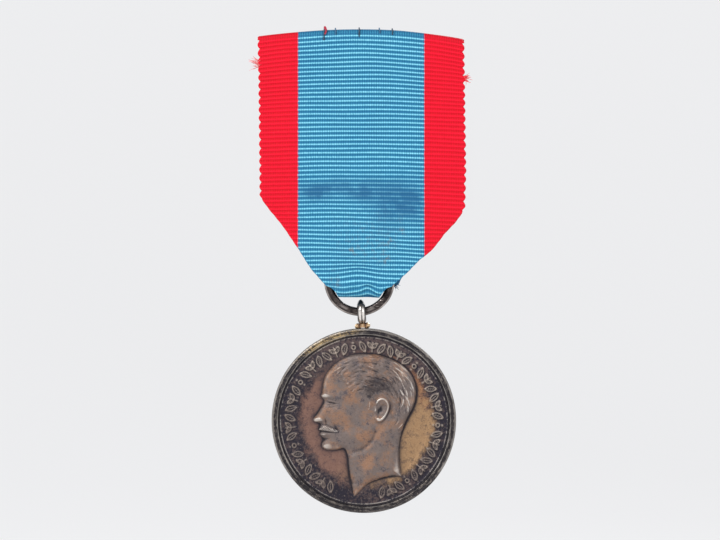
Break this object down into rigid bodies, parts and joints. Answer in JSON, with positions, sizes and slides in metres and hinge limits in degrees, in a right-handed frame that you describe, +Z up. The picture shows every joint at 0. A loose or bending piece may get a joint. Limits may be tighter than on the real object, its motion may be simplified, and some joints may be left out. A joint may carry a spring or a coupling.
{
  "type": "service medal",
  "caption": "Round struck medal with a raised head, hung by an eye and a ring from a ribbed striped ribbon with a needle brooch behind.",
  "frame": {"origin": "on the brooch needle's axis, at the middle of its free stretch", "axes": "+Z up the ribbon away from the medal, the medal's face towards -Y, +X to the viewer's right"},
  "size_m": [0.037, 0.0075, 0.0872],
  "materials": {
    "ribbon": "ribbed silk with red edges",
    "thread": "waxed thread",
    "brooch_metal": "dull lacquered brass",
    "rivet_metal": "worn brass",
    "needle_steel": "polished steel",
    "ring_metal": "worn dark bronze with bright edges",
    "medal_bronze": "patinated struck bronze",
    "eye_metal": "worn silvered wire",
    "foot_gilt": "worn gilt"
  },
  "bodies": {
    "ribbon_top": {"ribbon_front": "ribbon", "ribbon_back": "ribbon", "ribbon_hem": "ribbon", "top_stitches": "thread", "brooch_plate": "brooch_metal", "brooch_stitches": "thread", "hinge_bracket": "brooch_metal", "hinge_rivet": "rivet_metal", "catch_clip": "brooch_metal"},
    "needle": {"needle": "needle_steel"},
    "ribbon_tail": {"ribbon_front_tail": "ribbon", "ribbon_back_tail": "ribbon", "left_front_flap": "ribbon", "left_back_flap": "ribbon", "right_front_flap": "ribbon", "right_back_flap": "ribbon", "ribbon_end_fold": "ribbon"},
    "ring": {"ribbon_ring": "ring_metal"},
    "medal": {"medal_disc": "medal_bronze", "suspension_eye": "eye_metal", "eye_foot": "foot_gilt"}
  },
  "joints": [
    {"name": "needle_swing", "type": "hinge", "parent": "ribbon_top", "child": "needle", "pos_m": [0.012, 0, 0], "axis": [0, 0, -1], "range_deg": [0, 100]},
    {"name": "ribbon_bend", "type": "hinge", "parent": "ribbon_top", "child": "ribbon_tail", "pos_m": [0, -0.00405, -0.016], "axis": [1, 0, 0], "range_deg": [-45, 45]},
    {"name": "ring_turn", "type": "hinge", "parent": "ribbon_tail", "child": "ring", "pos_m": [-0.0003, -0.00405, -0.04014], "axis": [0, 1, 0], "range_deg": [-20, 20]},
    {"name": "medal_swing", "type": "hinge", "parent": "ring", "child": "medal", "pos_m": [0.00005, -0.00405, -0.04572], "axis": [1, 0, 0], "range_deg": [-85, 85]}
  ]
}
